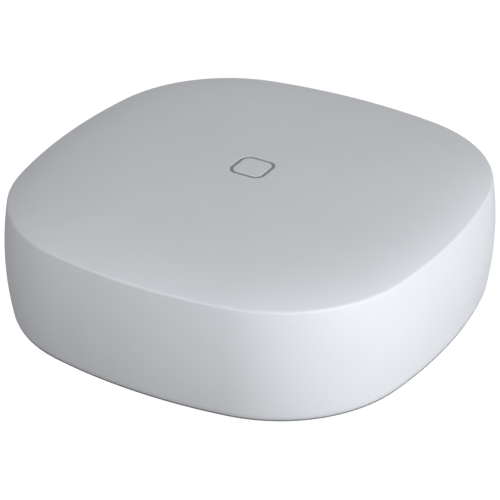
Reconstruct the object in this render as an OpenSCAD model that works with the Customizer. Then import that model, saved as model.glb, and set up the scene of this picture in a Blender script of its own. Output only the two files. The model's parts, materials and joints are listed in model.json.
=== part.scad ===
// Smart home hub: a low, domed plastic body on a base plate, with a status light
// ring in its top, a recessed bay of sockets in its rear and a reset button.
// Millimetres, +Z up, the front faces -Y, and the origin is under its centre.

/* [Body] */
// Greatest width across the curved side walls
body_w = 140; // [116:1:170]
// Height of the side walls, from the base plate's underside to the rim
wall_h = 36.9; // [30:0.1:46]
// How far each wall bows out at mid-height
bulge = 1.5; // [0:0.1:3]
// How much further out the rim stands than the lower edge, on each side
flare = 0.2; // [-1:0.1:1]
// Rise of the broad dome of the top
dome_rise = 3.4; // [2:0.1:5]
// Fall of the top where it rolls over towards the rim
edge_roll = 2.7; // [1:0.1:4]
// Sharpness of that roll, larger keeps it nearer the rim
roll_power = 9; // [4:1:14]
// Radius of the edge where the top meets the walls
edge_r = 1.3; // [0.5:0.1:3]
// Radius of the gently curved sides, seen from above
side_r = 167; // [120:1:400]
// Radius of the corners, seen from above
corner_r = 45.6; // [30:0.1:52]
// Wall thickness of the moulding
wall_t = 2.2; // [1.8:0.1:3]

/* [Base plate] */
// Height of the part of the feet that shows below the base plate
foot_proud = 0.6; // [0.4:0.1:2]
// Thickness of the base plate's edge that shows under the body
plate_edge = 0.5; // [0.3:0.1:1]
// Set-back of that edge from the body's lower edge
plate_inset = 0.1; // [0.1:0.1:1]
// Thickness of the base plate
plate_t = 2.2; // [1.8:0.1:3]
// Gap between the base plate and the inside of the walls
plate_gap = 0.15; // [0.1:0.05:0.3]
// Radius of a rubber foot
foot_r = 6.5; // [4:0.5:8]
// Depth of the pocket that holds a foot
foot_pocket = 0.8; // [0.4:0.1:1]
// Distance of a foot's centre from the corner of the outline
foot_inset = 13; // [11:0.5:16]
// Width of a cooling slot
vent_w = 2; // [1:0.5:3]
// Length of a cooling slot
vent_l = 20; // [10:1:22]
// Distance between cooling slots
vent_pitch = 6; // [4:0.5:7]
// Number of cooling slots
vent_count = 10; // [2:1:10]
// Width of the label on the underside
label_w = 44; // [20:1:50]
// Depth of the label, front to back
label_l = 22; // [10:1:26]

/* [Socket bay] */
// Width of the opening in the rear wall
bay_w = 62; // [62:0.5:64]
// Height of the opening in the rear wall
bay_h = 16.4; // [16.4:0.1:18]
// Corner radius of the opening
bay_r = 2.5; // [1:0.1:4]
// Overlap of the socket panel behind the edge of the opening
panel_lap = 2; // [1:0.1:3]
// Thickness of the socket panel
panel_t = 2; // [1.5:0.1:2.4]
// Wall of the collar that lines the opening
collar_t = 1.2; // [0.8:0.1:1.4]
// Gap between the collar and the opening
collar_gap = 0.15; // [0.1:0.05:0.3]
// Gap between a socket and its cut-out in the panel
socket_gap = 0.25; // [0.15:0.05:0.4]
// Distance between neighbouring sockets
socket_space = 4.5; // [3.5:0.1:4.8]

/* [Circuit board] */
// Width of the main board
board_w = 88; // [84:1:106]
// Length of the main board, front to back
board_l = 100; // [92:1:120]
// Thickness of the main board
board_t = 1.6; // [1.2:0.1:2]
// Cut at the rear corners of the main board
board_cut = 12; // [10:0.5:14]
// Height of the pillars that carry the main board
pillar_h = 4; // [3.6:0.1:5]
// Gap between the main board and what stands beside it
board_gap = 0.4; // [0.3:0.1:1]

/* [Status light] */
// Half the width of the light ring, to the middle of its line
ring_half = 5.5; // [5:0.1:7]
// Corner radius of the light ring, to the middle of its line
ring_r = 2.9; // [2:0.1:4]
// Width of the ring's line
ring_line = 0.96; // [0.7:0.02:1.2]
// Depth of the ring in the top
ring_t = 0.8; // [0.6:0.05:1.2]
// Length of the light blades under the ring
blade_l = 4; // [2:0.1:5]
// Distance from the inside of the top to the light board
light_drop = 6.4; // [5:0.1:8]
// Width of the light board
light_board_w = 26; // [24:0.5:30]
// Thickness of the light board
light_board_t = 1; // [0.8:0.1:1.6]
// Width of the flat lead
lead_w = 6; // [4:0.5:8]
// Thickness of the flat lead
lead_t = 0.3; // [0.2:0.05:0.5]
// Bend radius of the flat lead
lead_bend = 4; // [2:0.5:5]

/* [Reset button] */
// Radius of the reset button
button_r = 2; // [1.5:0.1:2.2]
// Gap round the reset button
button_gap = 0.3; // [0.2:0.05:0.5]
// Height of the button above the socket panel
button_proud = 0.6; // [0.5:0.1:1]
// Travel of the button
button_travel = 0.5; // [0.3:0.05:0.5]

/* [Fasteners] */
// Radius of the shank of a base screw
base_screw_r = 1.5; // [1.2:0.05:1.6]
// Length of the shank of a base screw
base_screw_l = 10; // [8:0.5:14]
// Radius of the shank of a board screw
board_screw_r = 1.1; // [0.9:0.05:1.2]
// Length of the shank of a board screw
board_screw_l = 4.5; // [4:0.1:5]
// Radius of a screw pillar in the body
boss_r = 3.6; // [3.2:0.1:4]
// Distance of the base screws in front of and behind the centre
boss_y = 26; // [22:0.5:30]

/* [Cooling] */
// Width of the heat sink
sink_w = 32; // [24:1:34]
// Height of the heat sink
sink_h = 8; // [5:0.5:12]
// Number of fins
fin_count = 9; // [5:1:11]
// Thickness of a fin
fin_t = 1; // [0.6:0.1:1.4]

/* [Antennas] */
// Length of an antenna board
antenna_l = 34; // [24:1:38]
// Height of an antenna board
antenna_h = 18; // [16:1:22]
// Thickness of an antenna board
antenna_t = 0.8; // [0.6:0.1:1.2]
// Radius of an antenna lead
coax_r = 0.6; // [0.4:0.05:0.8]

/* [Hidden] */

little = 0.01;
smooth = 96;
round_fn = 48;
wide_fn = 240;

// Heights
z_plate = foot_proud;
z_body = z_plate + plate_edge;
z_floor = z_plate + plate_t;
z_rim = z_plate + wall_h;
z_top = z_rim + dome_rise + edge_roll;
z_inside = z_top - wall_t;
z_under_board = z_floor + pillar_h;
z_board = z_under_board + board_t;

// Half-widths of the outline at the lower edge and at the rim
low_half = body_w / 2 - bulge - flare / 2;
rim_half = low_half + flare;

// Four side arcs and four corner arcs, for an outline whose half-width is 1
side_k = side_r / (body_w / 2);
corner_k = corner_r / (body_w / 2);
side_c = 1 - side_k;
corner_c = (side_c + sqrt(2 * pow(side_k - corner_k, 2) - side_c * side_c)) / 2;
side_turn = atan2(corner_c, corner_c - side_c);
join_x = side_c + side_k * cos(side_turn);
join_y = side_k * sin(side_turn);
join_a = atan2(join_y, join_x);

function folded(a) = abs((a + 45 + 360) % 90 - 45);
function side_reach(a) = side_c * cos(a) + sqrt(side_k * side_k - pow(side_c * sin(a), 2));
function corner_along(a) = corner_c * (cos(a) + sin(a));
function corner_reach(a) =
    corner_along(a) + sqrt(pow(corner_along(a), 2) - 2 * corner_c * corner_c + corner_k * corner_k);
// Distance of the outline from the centre in direction a
function reach(a) = folded(a) <= join_a ? side_reach(folded(a)) : corner_reach(folded(a));
// Distance of a side from the centre line, at a distance d along that side
function side_at(half, d) = d <= half * join_y
    ? half * side_c + sqrt(pow(half * side_k, 2) - d * d)
    : half * corner_c + sqrt(pow(half * corner_k, 2) - pow(d - half * corner_c, 2));

// Half-width of the wall at a share s of its height
function wall_half(s) = low_half + flare * s + 4 * bulge * s * (1 - s);
// Height of the top at a share u of the way out to the rim
function top_z(u) = z_rim + dome_rise * (1 - u * u) + edge_roll * (1 - pow(u, roll_power));
function share(x, y) = norm([x, y]) / (rim_half * reach(atan2(y, x)));
// Height of the middle of the top's thickness above a point
function skin_z(x, y) = top_z(share(x, y)) - wall_t / 2;

// Rounded edge between the walls and the top, as a curve drawn by its two tangents
edge_point = [rim_half, z_rim];
wall_dir = [flare - 4 * bulge, wall_h] / norm([flare - 4 * bulge, wall_h]);
top_fall = 2 * dome_rise + roll_power * edge_roll;
top_dir = [-rim_half, top_fall] / norm([rim_half, top_fall]);
edge_turn = acos(wall_dir * top_dir);
edge_tangent = edge_r * tan(edge_turn / 2);
edge_start = edge_point - wall_dir * edge_tangent;
edge_end = edge_point + top_dir * edge_tangent;
function edge_curve(f) =
    edge_start * pow(1 - f, 2) + edge_point * 2 * f * (1 - f) + edge_end * pow(f, 2);

// Profiles of the outside and the inside of the body, as [half-width, height]
around = 72;
first_s = plate_edge / wall_h;
wall_steps = [first_s, 0.15, 0.32, 0.5, 0.68, 0.85];
edge_steps = [0, 0.25, 0.5, 0.75, 1];
top_steps = [0.97, 0.94, 0.9, 0.84, 0.75, 0.62, 0.44, 0.22];
inner_top_steps = [0.955, 0.92, 0.84, 0.7, 0.45];
function wall_z(s) = z_plate + s * wall_h;
outer_profile = concat(
    [for (s = wall_steps) [wall_half(s), wall_z(s)]],
    [for (f = edge_steps) edge_curve(f)],
    [for (u = top_steps) [u * rim_half, top_z(u)]]
);
inner_profile = concat(
    [for (s = wall_steps) [wall_half(s) - wall_t, wall_z(s)]],
    [[rim_half - wall_t, z_rim - wall_t]],
    [for (u = inner_top_steps) [u * rim_half, top_z(u) - wall_t]]
);
function loop_at(p) = [
    for (i = [0 : around - 1])
        let (a = 360 * i / around)
        [p[0] * reach(a) * cos(a), p[0] * reach(a) * sin(a), p[1]]
];

// Socket bay, from the rear wall inwards
z_bay = z_board - 0.8 + bay_h / 2;
panel_w = bay_w + 2 * panel_lap;
panel_top = z_bay + bay_h / 2 + panel_lap;
bay_face = side_at(low_half - wall_t, panel_w / 2) - 0.2;
panel_back = bay_face - panel_t;
board_rear = panel_back - board_gap;
board_front = board_rear - board_l;
socket_front = bay_face - 0.2;

// Sockets side by side along the bay, from +X to -X
power_w = 9.5;
power_h = 11;
power_l = 14;
power_bore_r = 3.2;
power_nose_r = 4.2;
power_pin_r = 1.05;
power_root_r = 1.5;
power_depth = 9.5;
ethernet_w = 16;
ethernet_h = 13.5;
ethernet_l = 21;
usb_w = 13.1;
usb_h = 5.8;
usb_l = 14;
usb_lift = 2.6;
metal_t = 0.3;
reset_w = 6;
row_w = power_w + ethernet_w + usb_w + reset_w + 3 * socket_space;
power_x = row_w / 2 - power_w / 2;
ethernet_x = power_x - power_w / 2 - socket_space - ethernet_w / 2;
usb_x = ethernet_x - ethernet_w / 2 - socket_space - usb_w / 2;
reset_x = usb_x - usb_w / 2 - socket_space - reset_w / 2;
z_power = z_board + 6.4;
z_reset = z_board + 5;

// Plug cavity of the network socket
plug_w = 11.9;
plug_h = 7;
plug_l = 14;
plug_z = z_board + 3.6;
latch_w = 6.2;
latch_h = 1.6;
key_w = 3.6;
key_h = 1.2;

// Screw places
boss_x = board_w / 2 + 1.5 + boss_r;
boss_foot = z_floor + 1.8;
base_places = [for (sx = [-1, 1], sy = [-1, 1]) [sx * boss_x, sy * boss_y]];
board_places = [
    for (sx = [-1, 1], y = [board_front + 6, board_rear - 17]) [sx * (board_w / 2 - 6), y]
];
light_place = light_board_w / 2 - 3;
light_places = [for (sx = [-1, 1], sy = [-1, 1]) [sx * light_place, sy * light_place]];
foot_place = (low_half * reach(45) - foot_inset) / sqrt(2);
foot_places = [for (sx = [-1, 1], sy = [-1, 1]) [sx * foot_place, sy * foot_place]];
pillar_r = 3;
screw_fit = 0.05;
base_head_r = 2.8;
base_head_h = 1.6;
board_head_r = 2.1;
board_head_h = 1.2;
head_gap = 0.3;

// Light parts under the top
z_light_board = z_inside - light_drop;
z_light_under = z_light_board - light_board_t;
led_size = [2, 1.2, 0.8];
shade_half = 8.5;
shade_t = 1.2;
light_boss_r = 2.2;
ring_sink = 0.05;
ring_fit = 0.03;
lead_socket_size = [9, 4, 1.6];
light_socket_y = -4;
board_socket_y = board_front + 20;
lead_in = 0.8;
light_mouth = light_socket_y - lead_socket_size[1] / 2 + lead_in;
board_mouth = board_socket_y - lead_socket_size[1] / 2 + lead_in;
lead_column = min(light_mouth, board_mouth) - lead_in - 0.6 - lead_bend;
z_lead_high = z_light_under - lead_socket_size[2] / 2;
z_lead_low = z_board + lead_socket_size[2] / 2;

// Reset switch behind the button
switch_size = [6, 3.5, 7];
plunger_r = 1.2;
plunger_out = 1.5;
plunger_in = 1.4;
button_flange_r = 3.6;
button_flange_t = 0.9;
guide_gap = 0.3;
guide_t = 1;
button_rod_r = 1.3;
button_back = panel_back - 0.1 - button_flange_t;
plunger_front = button_back - 2.6;
switch_front = plunger_front - plunger_out;

// Parts on the main board, placed from its rear edge
processor_w = 17;
processor_h = 1.2;
pad_w = 16;
pad_t = 0.8;
processor_at = [-4, board_rear - 52];
sink_base = 2;
memory_size = [9, 12, 1];
radio_size = [22, 16, 2.6];
radio_at = [22, board_front + 18];
radio_chip = [7, 7, 0.9];

// Antenna boards beside the main board, and their leads
antenna_x = boss_x + boss_r;
clip_size = [3.2, 5, 6];
antenna_lead_y = -10;
plug_r = 1.4;
plug_t = 1.2;
z_coax_low = z_board + plug_t / 2;
z_coax_high = z_coax_low + 6.4;
coax_bend = (z_coax_high - z_coax_low) / 2;
board_plug_x = board_w / 2 - 8;
coax_out_x = antenna_x - antenna_t / 2 - plug_t;

// Features of the base plate's underside
label_y = 18;
label_pocket = 0.2;
label_t = 0.15;
vent_y = -24;

// Side contact of the power socket
spring_w = 2.6;
spring_t = 0.3;

// Foot of the light ring's blades, just above the LEDs
blade_foot = z_light_board + led_size[2] + 0.3;

// ---------------------------------------------------------------- shared shapes

// Outline of the body at a given half-width, from true arcs
module outline(half) {
    intersection() {
        translate([half * side_c, 0])
            circle(r = half * side_k, $fn = wide_fn);
        translate([-half * side_c, 0])
            circle(r = half * side_k, $fn = wide_fn);
        translate([0, half * side_c])
            circle(r = half * side_k, $fn = wide_fn);
        translate([0, -half * side_c])
            circle(r = half * side_k, $fn = wide_fn);
        rotate(45)
            square(half * (join_x + join_y) * sqrt(2), center = true);
    }
    for (sx = [-1, 1], sy = [-1, 1])
        translate([sx * half * corner_c, sy * half * corner_c])
            circle(r = half * corner_k, $fn = wide_fn);
}

// Closed solid between an outer and an inner stack of outlines
module lofted_shell(outer, inner) {
    rings = concat([for (p = outer) loop_at(p)], [for (p = inner) loop_at(p)]);
    points = concat([for (r = rings, p = r) p], [[0, 0, top_z(0)], [0, 0, top_z(0) - wall_t]]);
    m = len(outer);
    n = len(inner);
    apex_out = (m + n) * around;
    apex_in = apex_out + 1;
    function at(r, i) = r * around + i % around;
    function band(a, b) = [
        for (i = [0 : around - 1])
            each [[at(a, i), at(b, i), at(b, i + 1)], [at(a, i), at(b, i + 1), at(a, i + 1)]]
    ];
    faces = concat(
        [for (r = [0 : m - 2]) each band(r, r + 1)],
        [for (i = [0 : around - 1]) [at(m - 1, i), apex_out, at(m - 1, i + 1)]],
        [for (r = [m : m + n - 2]) each band(r + 1, r)],
        [for (i = [0 : around - 1]) [at(m + n - 1, i + 1), apex_in, at(m + n - 1, i)]],
        band(m, 0)
    );
    polyhedron(points, faces, convexity = 6);
}

// Rectangle with true round corners
module round_rect(w, h, r) {
    square([w - 2 * r, h], center = true);
    square([w, h - 2 * r], center = true);
    for (sx = [-1, 1], sy = [-1, 1])
        translate([sx * (w / 2 - r), sy * (h / 2 - r)])
            circle(r = r, $fn = round_fn);
}

// Rounded square line, by the half-width and corner radius of its middle
module ring_outline(line) {
    difference() {
        round_rect(2 * ring_half + line, 2 * ring_half + line, ring_r + line / 2);
        round_rect(2 * ring_half - line, 2 * ring_half - line, ring_r - line / 2);
    }
}

// Children turned so that their flat shape stands in the rear wall and grows from y0 to y1
module along_y(y0, y1) {
    translate([0, y1, 0])
        rotate([90, 0, 0])
            linear_extrude(y1 - y0)
                children();
}

module rod_y(r, y0, y1, x, z) {
    translate([x, y1, z])
        rotate([90, 0, 0])
            cylinder(r = r, h = y1 - y0, $fn = smooth);
}

// Box from its middle in x, its lowest z and its front and back
module block(x, y0, y1, z, w, h) {
    translate([x - w / 2, y0, z])
        cube([w, y1 - y0, h]);
}

// Screw with its head at z = 0 downwards and its shank upwards
module screw(shank_r, shank_l, head_r, head_h) {
    difference() {
        union() {
            cylinder(r = shank_r, h = shank_l, $fn = round_fn);
            translate([0, 0, -head_h])
                cylinder(r = head_r, h = head_h, $fn = round_fn);
        }
        for (a = [0, 90])
            rotate(a)
                translate([-head_r * 0.6, -head_r * 0.13, -head_h - little])
                    cube([head_r * 1.2, head_r * 0.26, head_h * 0.6]);
    }
}

// ---------------------------------------------------------------- body

module outer_shell() {
    color("#f2f3f4")
        difference() {
            union() {
                lofted_shell(outer_profile, inner_profile);
                for (p = base_places)
                    translate([p[0], p[1], boss_foot])
                        cylinder(r = boss_r, h = skin_z(p[0], p[1]) - boss_foot, $fn = round_fn);
                for (p = light_places)
                    translate([p[0], p[1], z_light_board])
                        cylinder(
                            r = light_boss_r,
                            h = skin_z(p[0], p[1]) - z_light_board,
                            $fn = round_fn
                        );
            }
            for (p = base_places)
                translate([p[0], p[1], boss_foot - little])
                    cylinder(r = base_screw_r, h = base_screw_l + 1, $fn = round_fn);
            for (p = light_places)
                translate([p[0], p[1], z_light_board - little])
                    cylinder(r = board_screw_r, h = board_screw_l, $fn = round_fn);
            translate([0, 0, z_bay])
                along_y(bay_face - 2, body_w / 2 + 1)
                    round_rect(bay_w, bay_h, bay_r);
            translate([0, 0, z_top - ring_t - ring_sink])
                linear_extrude(ring_t + 1)
                    ring_outline(ring_line + 2 * ring_fit);
            translate([0, 0, z_inside - 1])
                linear_extrude(wall_t + 1)
                    blade_plan(ring_fit);
        }
}

// Plan of the four light blades, with a gap round them
module blade_plan(gap) {
    for (a = [0 : 90 : 270])
        rotate(a)
            translate([0, ring_half])
                square([blade_l + 2 * gap, ring_line + 2 * gap], center = true);
}

// ---------------------------------------------------------------- base

module base_plate() {
    rib_h = 2.2;
    rib_t = 1.4;
    rib_gap = 0.1;
    color("#6d7074")
        difference() {
            union() {
                translate([0, 0, z_plate])
                    linear_extrude(plate_edge)
                        outline(low_half - plate_inset);
                translate([0, 0, z_plate])
                    linear_extrude(plate_t)
                        outline(low_half - wall_t - plate_gap);
                for (p = board_places)
                    translate([p[0], p[1], z_floor - little])
                        cylinder(r = pillar_r, h = pillar_h + little, $fn = round_fn);
                for (p = base_places)
                    translate([p[0], p[1], z_floor - little])
                        cylinder(r = boss_r + 0.6, h = boss_foot - z_floor + little, $fn = round_fn);
                block(0, panel_back - rib_gap - rib_t, panel_back - rib_gap, z_floor - little,
                    panel_w - 4, rib_h);
                block(0, bay_face + rib_gap, bay_face + rib_gap + rib_t, z_floor - little,
                    panel_w / 2, rib_h);
                for (sx = [-1, 1], sy = [-1, 1])
                    antenna_clip(sx, sy);
            }
            for (p = base_places)
                translate([p[0], p[1], 0]) {
                    cylinder(r = base_screw_r + 0.2, h = z_body + pillar_h, $fn = round_fn);
                    cylinder(r = base_head_r + head_gap, h = z_plate + base_head_h, $fn = round_fn);
                }
            for (p = board_places)
                translate([p[0], p[1], z_floor])
                    cylinder(r = board_screw_r, h = pillar_h + 1, $fn = round_fn);
            for (p = foot_places)
                translate([p[0], p[1], -1])
                    cylinder(r = foot_r + 0.1, h = z_plate + foot_pocket + 1, $fn = smooth);
            translate([0, label_y, 0])
                linear_extrude(z_plate + label_pocket)
                    round_rect(label_w + 0.6, label_l + 0.6, 1.3);
            for (i = [0 : vent_count - 1])
                translate([(i - (vent_count - 1) / 2) * vent_pitch, vent_y, 0])
                    linear_extrude(z_floor + 1)
                        round_rect(vent_w, vent_l, vent_w / 2 - little);
        }
}

// Slotted block that holds one end of an antenna board
module antenna_clip(sx, sy) {
    difference() {
        translate([sx * antenna_x, sy * (antenna_l / 2 - clip_size[1] / 2), z_floor])
            translate([-clip_size[0] / 2, -clip_size[1] / 2, -little])
                cube(clip_size);
        translate([sx * antenna_x, 0, z_floor + 10])
            cube([antenna_t + 0.1, antenna_l + 1, 20], center = true);
    }
}

module foot_pads() {
    bevel = 0.3;
    color("#2b2c2e")
        for (p = foot_places)
            translate([p[0], p[1], 0])
                rotate_extrude($fn = smooth)
                    polygon([
                        [0, 0],
                        [foot_r - bevel, 0],
                        [foot_r, bevel],
                        [foot_r, foot_proud + foot_pocket],
                        [0, foot_proud + foot_pocket]
                    ]);
}

module base_screws() {
    color("#8d9095")
        for (p = base_places)
            translate([p[0], p[1], z_plate + base_head_h])
                screw(base_screw_r - screw_fit, base_screw_l, base_head_r, base_head_h - 0.4);
}

module rating_label() {
    color("#c9cbce")
        translate([0, label_y, z_plate + label_pocket - label_t])
            linear_extrude(label_t)
                round_rect(label_w, label_l, 1);
}

// ---------------------------------------------------------------- socket panel

module port_panel() {
    panel_h = panel_top - z_floor;
    color("#55585c")
        difference() {
            union() {
                translate([0, 0, z_floor + panel_h / 2])
                    along_y(panel_back, bay_face)
                        round_rect(panel_w, panel_h, 1);
                intersection() {
                    translate([0, 0, z_bay])
                        along_y(bay_face - little, body_w / 2)
                            difference() {
                                round_rect(bay_w - 2 * collar_gap, bay_h - 2 * collar_gap, bay_r);
                                round_rect(
                                    bay_w - 2 * collar_gap - 2 * collar_t,
                                    bay_h - 2 * collar_gap - 2 * collar_t,
                                    bay_r - collar_t / 2
                                );
                            }
                    linear_extrude(z_rim)
                        outline(wall_half((z_bay - bay_h / 2 - z_plate) / wall_h) - 0.3);
                }
                rod_y(button_flange_r + guide_gap + guide_t, switch_front + 0.2,
                    panel_back + little, reset_x, z_reset);
            }
            rod_y(button_flange_r + guide_gap, switch_front, panel_back, reset_x, z_reset);
            rod_y(power_nose_r + socket_gap, panel_back - 1, bay_face + 1, power_x, z_power);
            block(ethernet_x, panel_back - 1, bay_face + 1, z_board - 0.2,
                ethernet_w + 2 * socket_gap, ethernet_h + 0.2 + socket_gap);
            block(usb_x, panel_back - 1, bay_face + 1, z_board + usb_lift - socket_gap,
                usb_w + 2 * socket_gap, usb_h + 2 * socket_gap);
            rod_y(button_r + button_gap, panel_back - 1, bay_face + 1, reset_x, z_reset);
        }
}

module power_inlet() {
    color("#1d1e20")
        difference() {
            union() {
                block(power_x, socket_front - power_l, panel_back - 0.2, z_board, power_w, power_h);
                rod_y(power_nose_r, socket_front - power_l, socket_front, power_x, z_power);
            }
            rod_y(power_bore_r, socket_front - power_depth, socket_front + 1, power_x, z_power);
            rod_y(power_root_r, socket_front - power_l - 1, socket_front, power_x, z_power);
            block(power_x, socket_front - power_depth, socket_front + 1,
                z_power - power_bore_r - spring_t, spring_w, power_bore_r);
        }
}

module power_pin() {
    bore_floor = socket_front - power_depth;
    color("#c9b06a") {
        rod_y(power_root_r, socket_front - power_l, bore_floor, power_x, z_power);
        rod_y(power_pin_r, bore_floor - little, socket_front - 1, power_x, z_power);
    }
}

module power_spring() {
    color("#c9b06a")
        block(power_x, socket_front - power_depth, socket_front - 1.5,
            z_power - power_bore_r - spring_t, spring_w, spring_t);
}

module ethernet_jack() {
    color("#1d1e20")
        difference() {
            block(ethernet_x, socket_front - ethernet_l + metal_t, socket_front, z_board,
                ethernet_w - 2 * metal_t, ethernet_h - metal_t);
            block(ethernet_x, socket_front - plug_l, socket_front + 1, plug_z, plug_w, plug_h);
            block(ethernet_x, socket_front - plug_l, socket_front + 1, plug_z - latch_h,
                latch_w, latch_h + 1);
            block(ethernet_x, socket_front - plug_l, socket_front + 1,
                plug_z - latch_h - key_h, key_w, key_h + 1);
        }
}

module ethernet_shield() {
    color("#b9bcc0")
        difference() {
            block(ethernet_x, socket_front - ethernet_l, socket_front, z_board,
                ethernet_w, ethernet_h);
            block(ethernet_x, socket_front - ethernet_l + metal_t, socket_front + 1, z_board - 1,
                ethernet_w - 2 * metal_t, ethernet_h - metal_t + 1);
        }
}

module ethernet_contacts() {
    pitch = 1.02;
    wire = 0.4;
    top = plug_z + plug_h;
    color("#d2b25c")
        for (i = [0 : 7])
            translate([ethernet_x + (i - 3.5) * pitch - wire / 2, 0, 0])
                rotate([90, 0, 90])
                    linear_extrude(wire)
                        polygon([
                            [socket_front - 3, top],
                            [socket_front - 3 - wire, top],
                            [socket_front - 11 - wire, top - 2],
                            [socket_front - 11, top - 2 - wire]
                        ]);
}

module usb_shield() {
    z = z_board + usb_lift;
    color("#b9bcc0")
        difference() {
            union() {
                block(usb_x, socket_front - usb_l, socket_front, z, usb_w, usb_h);
                for (sx = [-1, 1])
                    block(usb_x + sx * (usb_w / 2 - metal_t / 2), socket_front - 9,
                        socket_front - 6, z_board, metal_t, usb_lift + 1);
            }
            block(usb_x, socket_front - usb_l - 1, socket_front + 1, z + metal_t,
                usb_w - 2 * metal_t, usb_h - 2 * metal_t);
        }
}

module usb_tongue() {
    z = z_board + usb_lift + metal_t;
    inner_h = usb_h - 2 * metal_t;
    color("#e9e9e6") {
        block(usb_x, socket_front - usb_l, socket_front - usb_l + 3, z,
            usb_w - 2 * metal_t, inner_h);
        block(usb_x, socket_front - usb_l + 3 - little, socket_front - 1.2, z + inner_h - 2.4,
            11.1, 1.84);
    }
}

module usb_contacts() {
    z = z_board + usb_lift + metal_t + usb_h - 2 * metal_t - 2.4;
    color("#d2b25c")
        for (x = [-3.5, -1, 1, 3.5])
            block(usb_x + x, socket_front - usb_l + 3, socket_front - 2.4, z - 0.2, 1, 0.2);
}

module reset_button() {
    color("#d9dadc") {
        rod_y(button_r, button_back, bay_face + button_proud, reset_x, z_reset);
        rod_y(button_flange_r, button_back, button_back + button_flange_t, reset_x, z_reset);
        rod_y(button_rod_r, plunger_front, button_back + little, reset_x, z_reset);
    }
}

module reset_switch() {
    color("#27282a")
        difference() {
            block(reset_x, switch_front - switch_size[1], switch_front, z_board,
                switch_size[0], switch_size[2]);
            rod_y(plunger_r + button_gap, switch_front - plunger_in - button_travel - 0.3,
                switch_front + 1, reset_x, z_reset);
        }
}

module switch_plunger() {
    color("#e9e9e6")
        rod_y(plunger_r, switch_front - plunger_in, plunger_front, reset_x, z_reset);
}

// ---------------------------------------------------------------- main board

module main_board() {
    half = board_w / 2;
    front_cut = 6;
    color("#1f6b46")
        difference() {
            translate([0, 0, z_under_board])
                linear_extrude(board_t)
                    polygon([
                        [-half + front_cut, board_front],
                        [half - front_cut, board_front],
                        [half, board_front + front_cut],
                        [half, board_rear - board_cut],
                        [half - board_cut, board_rear],
                        [-half + board_cut, board_rear],
                        [-half, board_rear - board_cut],
                        [-half, board_front + front_cut]
                    ]);
            for (p = board_places)
                translate([p[0], p[1], z_under_board - 1])
                    cylinder(r = board_screw_r + 0.1, h = board_t + 2, $fn = round_fn);
        }
}

module board_screws() {
    color("#8d9095")
        for (p = board_places)
            translate([p[0], p[1], z_board])
                rotate([180, 0, 0])
                    screw(board_screw_r - screw_fit, board_screw_l, board_head_r, board_head_h);
}

module chip(x, y, size) {
    block(x, y - size[1] / 2, y + size[1] / 2, z_board, size[0], size[2]);
}

module processor() {
    color("#232426")
        chip(processor_at[0], processor_at[1], [processor_w, processor_w, processor_h]);
}

module thermal_pad() {
    color("#7f9bb5")
        translate([0, 0, processor_h])
            chip(processor_at[0], processor_at[1], [pad_w, pad_w, pad_t]);
}

module heat_sink() {
    step = (sink_w - fin_t) / (fin_count - 1);
    color("#9ea2a6")
        translate([0, 0, processor_h + pad_t]) {
            chip(processor_at[0], processor_at[1], [sink_w, sink_w, sink_base]);
            for (i = [0 : fin_count - 1])
                chip(processor_at[0] - sink_w / 2 + fin_t / 2 + i * step, processor_at[1],
                    [fin_t, sink_w, sink_h]);
        }
}

module memory_chips() {
    color("#232426")
        for (dy = [-8, 8])
            chip(24, processor_at[1] + dy, memory_size);
}

module radio_chips() {
    color("#232426")
        for (sx = [-1, 1])
            chip(sx * radio_at[0], radio_at[1], radio_chip);
}

module radio_shields() {
    inside = radio_size - [2 * metal_t, 2 * metal_t, metal_t];
    color("#b9bcc0")
        for (sx = [-1, 1])
            difference() {
                chip(sx * radio_at[0], radio_at[1], radio_size);
                translate([0, 0, -little])
                    chip(sx * radio_at[0], radio_at[1], inside);
            }
}

module crystals() {
    color("#b9bcc0")
        for (x = [-24, -32])
            chip(x, processor_at[1] + 4, [3.2, 5, 1.1]);
}

module network_transformer() {
    color("#232426")
        chip(ethernet_x, board_rear - 26, [12.7, 9.5, 5.6]);
}

module power_inductor() {
    color("#3a3b3d")
        translate([power_x + 3, board_rear - 20, z_board])
            difference() {
                translate([-5, -5, 0])
                    cube([10, 10, 4.5]);
                translate([0, 0, 3.9])
                    cylinder(r = 3.6, h = 1, $fn = round_fn);
            }
}

module power_capacitors() {
    color("#9ea2a6")
        for (x = [24, 35])
            translate([x, board_rear - 33, z_board]) {
                cylinder(r = 4, h = 11, $fn = round_fn);
                translate([-4.1, -4.1, 0])
                    cube([8.2, 8.2, 0.8]);
            }
}

module chip_resistors() {
    color("#3a3b3d")
        for (i = [0 : 5], j = [0 : 3])
            chip(-40 + i * 2.6, board_rear - 40 + j * 3.4, [1.6, 0.8, 0.5]);
}

// ---------------------------------------------------------------- status light

module light_ring() {
    color("#8f9397")
        union() {
            translate([0, 0, z_top - ring_sink - ring_t])
                linear_extrude(ring_t)
                    ring_outline(ring_line);
            translate([0, 0, blade_foot])
                linear_extrude(z_top - ring_sink - ring_t - blade_foot + little)
                    blade_plan(0);
        }
}

module light_shade() {
    h = light_drop - 0.4;
    color("#e9e9e6")
        translate([0, 0, z_light_board])
            difference() {
                linear_extrude(h)
                    round_rect(2 * shade_half, 2 * shade_half, 2);
                translate([0, 0, -little])
                    linear_extrude(h + 1)
                        round_rect(2 * (shade_half - shade_t), 2 * (shade_half - shade_t), 0.9);
            }
}

module light_board() {
    color("#1f6b46")
        translate([0, 0, z_light_under])
            difference() {
                linear_extrude(light_board_t)
                    round_rect(light_board_w, light_board_w, 2);
                for (p = light_places)
                    translate([p[0], p[1], -1])
                        cylinder(r = board_screw_r + 0.1, h = light_board_t + 2, $fn = round_fn);
            }
}

module status_leds() {
    color("#f4f1d8")
        for (a = [0 : 90 : 270])
            rotate(a)
                translate([-led_size[0] / 2, ring_half - led_size[1] / 2, z_light_board])
                    cube(led_size);
}

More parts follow.
